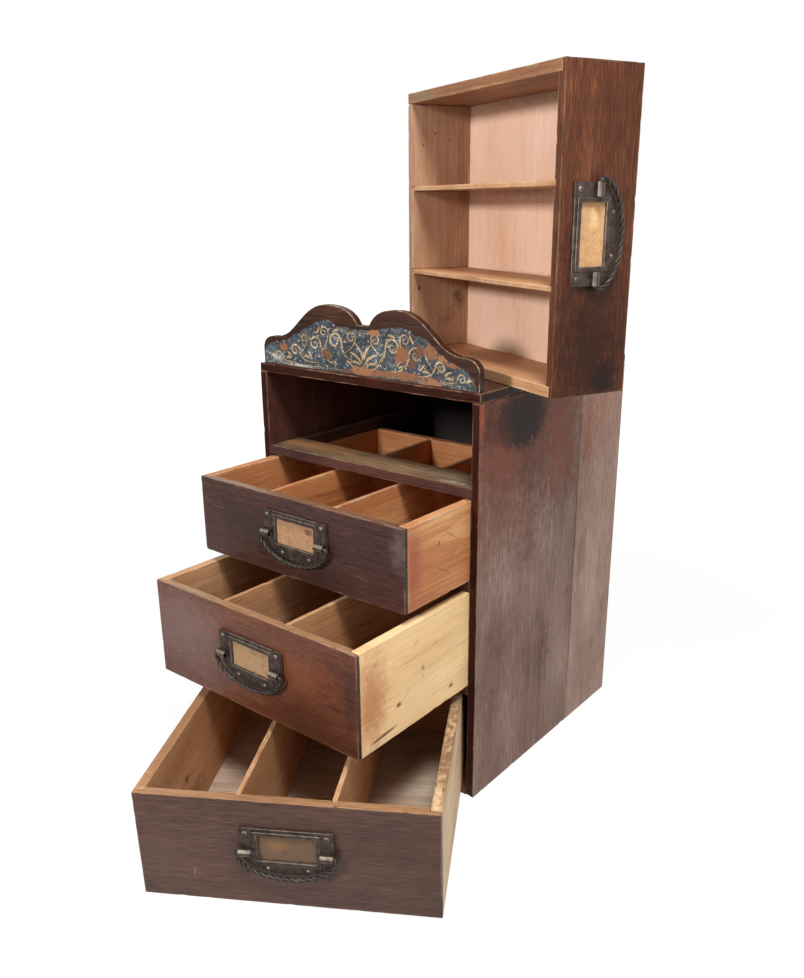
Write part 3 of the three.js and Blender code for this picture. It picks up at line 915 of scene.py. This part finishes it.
# Drawers: which wood each board is, how it lies, and the marks that it carries
drawerWoods = {
    1: {"front": "brownFront", "side": "tan", "back": "dull", "divider": "tan", "bottom": "pink"},
    2: {"front": "front", "side": "orange", "back": "orange", "divider": "orange", "bottom": "orange"},
    3: {"front": "redFront", "side": "yellow", "back": "tan", "divider": "tan", "bottom": "brown"},
    4: {"front": "lowFront", "side": "yellow", "back": "tan", "divider": "tan", "bottom": "grey"},
}
drawerLies = {
    "front": "upright across",
    "back": "upright across",
    "side": "upright along",
    "divider": "upright along",
    "bottom": "flat",
}
drawerOverrides = {
    # Darker pine for drawer 1's upper side: partly painted shade, for the shaded underside that forms the
    # ceiling of its inside.
    "drawer_1_side_right": "brown",
    "drawer_3_side_left": "tan",
    "drawer_4_side_left": "tan",
    "drawer_4_side_right": "weathered",
}
boardMarks.update({
    "drawer_1_front": [
        spot((-95, 0), (120, 80), "240c04", 0.85, 0.0, 0.5),
        spot((0, 0), (70, 40), "241009", 0.6, 0.2, 0.6),
        spot((-122, -18), (22, 16), "140a08", 0.8, 0.2, 0.7),
        spot((60, 14), (50, 10), "8a4a2c", 0.2, 0.0, 0.9),
        scratch((70, 10), 26, 4, "8f6248", 0.4, 0.5),
    ],
    "drawer_1_back": [
        spot((-61, 27), (3.2, 2.2), "2e1a12", 0.9, 0.4, 0.5),
        spot((-73, -22), (16, 9), "4a2c1e", 0.7, 0.0, 1.0, 30),
        spot((-96, -8), (18, 20), "6b4530", 0.5, 0.0, 1.0),
        *[spot(at, (1.4, 1.4), "3a2216", 0.9, 0.4, 0.3) for at in ((98, 8), (86, 22), (92, -10))],
        spot((60, -26), (70, 8), "6b4530", 0.4, 0.0, 1.0),
    ],
    "drawer_1_side_right": [
        spot((100, 38), (34, 6), "7b7158", 0.7, face=0),
        spot((-30, 30), (60, 10), "b58a5c", 0.4, 0.0, 0.9, face=0),
    ],
    "drawer_2_front": [
        spot((-80, 0), (80, 60), "2b1713", 0.6, 0.0, 0.5),
        spot((0, 0), (62, 36), "1f120e", 0.45, 0.3, 0.5),
        spot((129, 20), (14, 30), "6f5c58", 0.5),
        scratch((-110, 12), 30, 3, "80665c", 0.4, 0.4),
        scratch((84, -18), 24, -5, "80665c", 0.4, 0.5),
    ],
    "drawer_3_front": [
        # Greyish violet over the left part: painted reflection, a sheen on the front.
        spot((-95, 10), (100, 70), "745c58", 0.65, 0.0, 0.5),
        spot((60, 10), (70, 40), "8a4a2a", 0.4),
        spot((128, 0), (12, 60), "2c1a16", 0.6, 0.0, 0.7),
        spot((80, -40), (80, 40), "3c1a0c", 0.7, 0.0, 0.5),
        spot((4, 0), (64, 38), "2a1510", 0.55, 0.2, 0.6),
        scratch((-104, -20), 26, 10, "a08c86", 0.4, 0.5),
    ],
    "drawer_4_front": [
        spot((0, 2), (66, 40), "2a1a16", 0.45, 0.3, 0.5),
        spot((-110, -10), (50, 60), "5f4440", 0.35),
        spot((90, 30), (50, 20), "38241e", 0.4),
        scratch((-86, -25), 14, 78, "a58a7a", 0.5, 0.6),
        scratch((-60, -30), 20, 20, "8a6e62", 0.4, 0.4),
    ],
    "drawer_4_side_right": [
        spot((-60, 54), (80, 2.2), "5a3c24", 0.75, 0.0, 1.6, face=0),
        spot((40, 54), (70, 2.2), "5a3c24", 0.6, 0.0, 1.6, face=0),
    ],
    # Darker strips beside the top side and each divider: painted shade under the shelves of the standing
    # drawer, partly dust.
    "drawer_1_bottom": [spot((x, 0), (9, 160), "7a4832", 0.5, 0.0, 0.5) for x in (124, 40, -45)],
    "drawer_2_side_right": [
        spot((-128, 0), (20, 60), "9a4f38", 0.65, 0.1, 0.5, face=0),
        spot((-91, 13), (1.0, 4.0), "3a2015", 0.9, 0.5, 0.3, -20, face=0),
        scratch((-70, 15), 31, -33),
        scratch((-86, -14), 34, -28),
        scratch((-67, -1), 23, 22),
        spot((-80, 36), (70, 4), "e0b27c", 0.5, face=0),
    ],
    "drawer_3_side_right": [
        spot((-122, 0), (30, 70), "b87246", 0.75, 0.1, 0.45, face=0),
        spot((-106, -42), (21, 1.8), "5a3018", 0.9, 0.6, 0.2, 4, face=0),
        spot((-49, 2), (3, 4), "8a5a34", 0.6, 0.2, 0.6, 30, face=0),
        scratch((-60, 30), 16, 50, "6b4a34"),
        scratch((-48, -8), 9, -70, "3f2c22"),
        scratch((-72, -14), 22, 35, "8a6848"),
        scratch((-30, 20), 14, 60, "8a6848"),
    ] + knot((-4, -37), 3.2) + knot((-85, -21), 3.4),
    "drawer_4_side_left": knot((-50, 2), 5.0) + [
        spot((-70, -30), (90, 30), "6e3a1e", 0.75, face=0),
        spot((-60, 30), (70, 16), "96623e", 0.4, face=0),
        spot((0, 54.3), (220, 2.4), "8a6040", 0.75, 0.3, 0.7, face=0),
    ],
})


def makeDrawer(number):
    slots = {"front": "front_wood", "bottom": "pale_pine" if number in (1, 4) else "pine"}
    parts = ("front", "back", "bottom", "side_left", "side_right", "divider_left", "divider_right")
    for index, part in enumerate(parts):
        node = f"drawer_{number}_{part}"
        kind = part.split("_")[0]
        wood = drawerOverrides.get(node, drawerWoods[number][kind])
        seed = 20 + number * 8 + index
        makeBoard(node, drawerPlaces[number], drawerLies[kind], wood, slots.get(kind, "pine"), seed)


for number in drawerPlaces:
    makeDrawer(number)
print("drawer boards finished")


# Iron: dark, uneven, with a dull shine
ironLook = {
    "colours": ("29231f", "4e423b", "7d6e62"), "worn": "9a8b7d", "rust": "4a3328", "roughness": 0.48,
    "metal": 0.75, "proud": (2.5, 8.0),
}


def makeIron(name, look, place=None):
    material, tree = newMaterial(name)
    coords = ownCoords(tree)
    broad = cloud(tree, coords, 140.0, 4.0, 0.6)
    fine = cloud(tree, coords, 900.0, 3.0, 0.6)
    tone = plus(tree, times(tree, broad, 0.6), times(tree, fine, 0.4))
    colour = threeTones(tree, tone, look["colours"], 0.3, 0.5, 0.72)
    rusty = fade(tree, cloud(tree, coords, 60.0, 5.0, 0.65), 0.52, 0.75, 0.0, 0.5)
    colour = blend(tree, rusty, colour, paint(look["rust"]))
    if place:
        out = times(tree, split(tree, coordsIn(tree, place))[1], -1000.0)
        outward = facing(tree, -place.to_3x3().col[1])
        bevels = times(tree, fade(tree, outward, 0.3, 0.5), fade(tree, outward, 0.86, 0.99, 0.9, 0.0))
        rubbed = maths(tree, "MAXIMUM", fade(tree, out, *look["proud"], 0.0, 0.22), bevels)
    else:
        ridge = addNode(tree, "Attribute", attribute_name="ridge").outputs["Fac"]
        rubbed = fade(tree, ridge, 0.55, 1.0, 0.0, 0.35)
    rubbed = times(tree, rubbed, fade(tree, broad, 0.3, 0.6, 0.45, 1.0))
    colour = blend(tree, rubbed, colour, paint(look["worn"]))
    rough = plus(tree, times(tree, fine, 0.3), look["roughness"] - 0.1)
    finishShader(tree, colour, rough, tone, 0.5, 0.3 * mm, Metallic=look["metal"])
    return material


darkIron = {**ironLook, "colours": ("1d1917", "35302c", "5a514b"), "worn": "7a7068"}
bailIron = makeIron("bail_iron", darkIron)


def pullPlace(number):
    return Matrix.Translation(swingOf(number)["pos_m"]) @ drawerPlaces[number].to_3x3().to_4x4()


def sweep(bm, ring, steps):
    for step in steps:
        grown = bmesh.ops.extrude_edge_only(bm, edges=ring)["geom"]
        fresh = set(only(grown, bmesh.types.BMVert))
        ring = [edge for edge in only(grown, bmesh.types.BMEdge) if set(edge.verts) <= fresh]
        bmesh.ops.transform(bm, matrix=step, verts=list(fresh), space=upright)
    return ring


# Bail: three strands of iron twisted together, plain where it turns in the ears
bailLook = {
    "strands": 3, "ridgePitch": 6.8, "valley": 0.42, "stepLength": 0.8, "around": 30, "pinInside": 11.0,
    "bendSteps": 6,
}


def bailStations(halfWidth, drop, plateHalf):
    bend = halfWidth - plateHalf
    path = [(Vector((-plateHalf + bailLook["pinInside"] * mm, 0, 0)), math.pi)]
    for index in range(bailLook["bendSteps"] + 1):
        turn = math.pi / 2 * index / bailLook["bendSteps"]
        point = Vector((-plateHalf - bend * math.sin(turn), 0, bend * math.cos(turn) - bend))
        path.append((point, math.pi - turn))
    ends = path[::-1]
    deep = drop - bend
    count = int(2.4 * halfWidth / (bailLook["stepLength"] * mm) / 2) * 2
    for index in range(1, count):
        turn = math.pi * index / count
        point = Vector((-halfWidth * math.cos(turn), 0, -bend - deep * math.sin(turn)))
        path.append((point, -math.atan2(-deep * math.cos(turn), halfWidth * math.sin(turn))))
    return path + [(Vector((-point.x, 0, point.z)), 2 * math.pi - heading) for point, heading in ends]


def shapeStrands(edges, here, ridge, undo=False):
    inverse = here.inverted()
    for vertex in {vertex for edge in edges for vertex in edge.verts}:
        local = inverse @ vertex.co
        height = abs(math.cos(bailLook["strands"] * math.atan2(local.z, local.y) / 2))
        factor = 1 - bailLook["valley"] * (1 - height)
        if undo:
            factor = 1 / factor
        vertex.co = here @ Vector((local.x, local.y * factor, local.z * factor))
        vertex[ridge] = height


def makeBail(number):
    node = f"drawer_{number}_bail"
    place = pullPlace(number)
    low, high = boxIn(node, place)
    plateHigh = boxIn(f"drawer_{number}_label_plate", place)[1]
    radius = (high.y - low.y) / 2
    bm = bmesh.new()
    ridge = bm.verts.layers.float.new("ridge")
    ring = bmesh.ops.create_circle(bm, segments=bailLook["around"], radius=radius)["verts"]
    bmesh.ops.rotate(bm, verts=ring, cent=(0, 0, 0), matrix=Matrix.Rotation(math.pi / 2, 3, "Y"))
    length = 0.0
    last = None
    frames = []
    for point, heading in bailStations(high.x - radius, -low.z - radius, plateHigh.x):
        if last is not None:
            length += (point - last).length
        last = point
        twist = 2 * math.pi * length / (bailLook["strands"] * bailLook["ridgePitch"] * mm)
        turn = Matrix.Rotation(heading, 4, "Y") @ Matrix.Rotation(twist, 4, "X")
        frames.append(place @ Matrix.Translation(point) @ turn)
    bmesh.ops.transform(bm, matrix=frames[0], verts=ring, space=upright)
    steps = [after @ before.inverted() for before, after in zip(frames, frames[1:])]
    plain = bailLook["bendSteps"] + 1
    edges = sweep(bm, list(bm.edges), steps[:plain])
    shapeStrands(edges, frames[plain], ridge)
    edges = sweep(bm, edges, steps[plain:-plain])
    shapeStrands(edges, frames[-plain - 1], ridge, True)
    sweep(bm, edges, steps[-plain:])
    bmesh.ops.holes_fill(bm, edges=bm.edges)
    bmesh.ops.recalc_face_normals(bm, faces=bm.faces)
    for face in bm.faces:
        face.smooth = True
    linkPiece(bm, f"twisted_bail_{number}", bailIron, f"bail_{number}", (node,))


# Label plate: sheet with a curved apron, raised frame, two straps rolled round the bail, screws and rivets
plateLook = {
    "sheet": 2.0, "ease": 0.35, "apronStart": 4.0, "window": (52.0, 26.0), "windowBelow": 10.2,
    "frameBar": 4.0, "frameRise": 1.2, "frameEase": 0.4, "strapWidth": 11.5, "strapSheet": 1.3,
    "earInner": 2.4, "rollStart": 62, "rollStep": -18, "screw": (2.4, 1.3, 4.5),
    "rivet": (2.0, 1.4, 18.0, 18.2),
}


def rectangle(half, low, high):
    return [(-half, low), (half, low), (half, high), (-half, high)]


def sheetWithHole(bm, outline, hole, back, thickness, ease):
    edges = []
    for loop in (outline, hole):
        verts = [bm.verts.new((x, back, z)) for x, z in loop]
        edges += [bm.edges.new((verts[index - 1], verts[index])) for index in range(len(verts))]
    filled = bmesh.ops.triangle_fill(bm, use_beauty=True, use_dissolve=False, edges=edges)["geom"]
    grown = thicken(bm, only(filled, bmesh.types.BMFace), -thickness)
    easeEdges(bm, only(grown, bmesh.types.BMEdge), ease)


def addDome(bm, centre, radius, rise):
    made = bmesh.ops.create_uvsphere(bm, u_segments=18, v_segments=10, radius=1.0)["verts"]
    bmesh.ops.scale(bm, verts=made, vec=(radius, rise, radius))
    bmesh.ops.translate(bm, verts=made, vec=centre)
    for face in {face for vertex in made for face in vertex.link_faces}:
        face.smooth = True


def addStrap(bm, middle, face, top):
    sheet = plateLook["strapSheet"] * mm
    mid = plateLook["earInner"] * mm + sheet / 2 + 0.15 * mm
    half = plateLook["strapWidth"] * mm / 2
    start = [bm.verts.new((middle + x, y, top)) for x, y in rectangle(half, face, face - sheet)]
    ring = [bm.edges.new((start[index - 1], start[index])) for index in range(4)]
    bmesh.ops.contextual_create(bm, geom=ring)
    flat = face - sheet / 2
    foot = Vector((0, flat, math.sqrt(max(0.0, flat ** 2 - mid ** 2)) * 1.6))
    turnTo = math.atan2(foot.z, foot.y) - math.radians(plateLook["rollStart"])
    ringStart = Vector((0, mid * math.cos(turnTo), mid * math.sin(turnTo)))
    steps = [Matrix.Translation((0, 0, foot.z - top)), Matrix.Translation(ringStart - foot)]
    steps += [Matrix.Rotation(math.radians(plateLook["rollStep"]), 4, "X")] * 16
    ring = sweep(bm, ring, steps)
    bmesh.ops.contextual_create(bm, geom=ring)


def makePlate(number):
    node = f"drawer_{number}_label_plate"
    place = pullPlace(number)
    low, high = boxIn(node, place)
    look = plateLook
    start = look["apronStart"] * mm
    wide, tall = (size * mm for size in look["window"])
    foot = -look["windowBelow"] * mm
    window = rectangle(wide / 2, foot, foot + tall)
    outline = [(high.x, high.z), (-high.x, high.z)]
    for index in range(33):
        turn = math.pi + math.pi * index / 32
        outline.append((high.x * math.cos(turn), -start + (-low.z - start) * math.sin(turn)))
    bm = bmesh.new()
    sheetWithHole(bm, outline, window, high.y, look["sheet"] * mm, look["ease"] * mm)

    bar = look["frameBar"] * mm
    face = high.y - look["sheet"] * mm
    border = rectangle(wide / 2 + bar, foot - bar, foot + tall + bar)
    sheetWithHole(bm, border, window, face + 0.1 * mm, (look["frameRise"] + 0.1) * mm, look["frameEase"] * mm)

    for sign in (-1, 1):
        strap = sign * (high.x - look["strapWidth"] * mm / 2)
        addStrap(bm, strap, face, high.z)
        radius, rise, belowTop = (size * mm for size in look["screw"])
        addDome(bm, Vector((strap, face - look["strapSheet"] * mm, high.z - belowTop)), radius, rise)
        radius, rise, aside, below = (size * mm for size in look["rivet"])
        addDome(bm, Vector((sign * aside, face, -below)), radius, rise)
    bmesh.ops.transform(bm, matrix=place, verts=bm.verts, space=upright)
    iron = makeIron(f"plate_iron_{number}", ironLook, place)
    linkPiece(bm, f"iron_plate_{number}", iron, nodes[node]["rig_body"], (node,))


for number in drawerPlaces:
    makeBail(number)
    makePlate(number)
print("pulls finished")


# Cards: aged paper with spots, darker on the lowest drawer
cards = {
    1: {"paper": "d6a878", "dark": "a87048", "stain": ((12, -2), (12, 7), "f0c88e", 0.7)},
    2: {"paper": "ab825e", "dark": "755238", "stain": ((17, 7), (7, 5), "5f3822", 0.8)},
    3: {"paper": "a48260", "dark": "7c5e44", "stain": ((-10, 4), (8, 6), "a9835c", 0.5)},
    4: {"paper": "684f3b", "dark": "533f33", "stain": ((-8, 3), (14, 8), "8a6238", 0.5)},
}


def makeCard(number):
    node = f"drawer_{number}_card"
    look = cards[number]
    place, half = boardPlace(node, drawerPlaces[number], "upright across")
    material, tree = newMaterial(node + "_paper")
    local = coordsIn(tree, place)
    moved = vectors(tree, "ADD", local, (number, 0.0, 0.0))[0]
    specks = cloud(tree, moved, 700.0, 3.0, 0.6)
    dark = paint(look["dark"])
    blotches = fade(tree, cloud(tree, moved, 160.0, 5.0, 0.7), 0.45, 0.8, 0.0, 0.8)
    colour = blend(tree, blotches, paint(look["paper"]), dark)
    colour = blend(tree, fade(tree, specks, 0.5, 0.68, 0.0, 0.65), colour, dark)
    at, size, tone, amount = look["stain"]
    colour = addSpots(tree, local, half, colour, [spot(at, size, tone, amount, 0.2, 0.6, face=0)])
    finishShader(tree, colour, 0.85, specks, 0.2, 0.1 * mm)
    nodes[node].data.materials.clear()
    nodes[node].data.materials.append(material)


for number in drawerPlaces:
    makeCard(number)
print("cards finished")
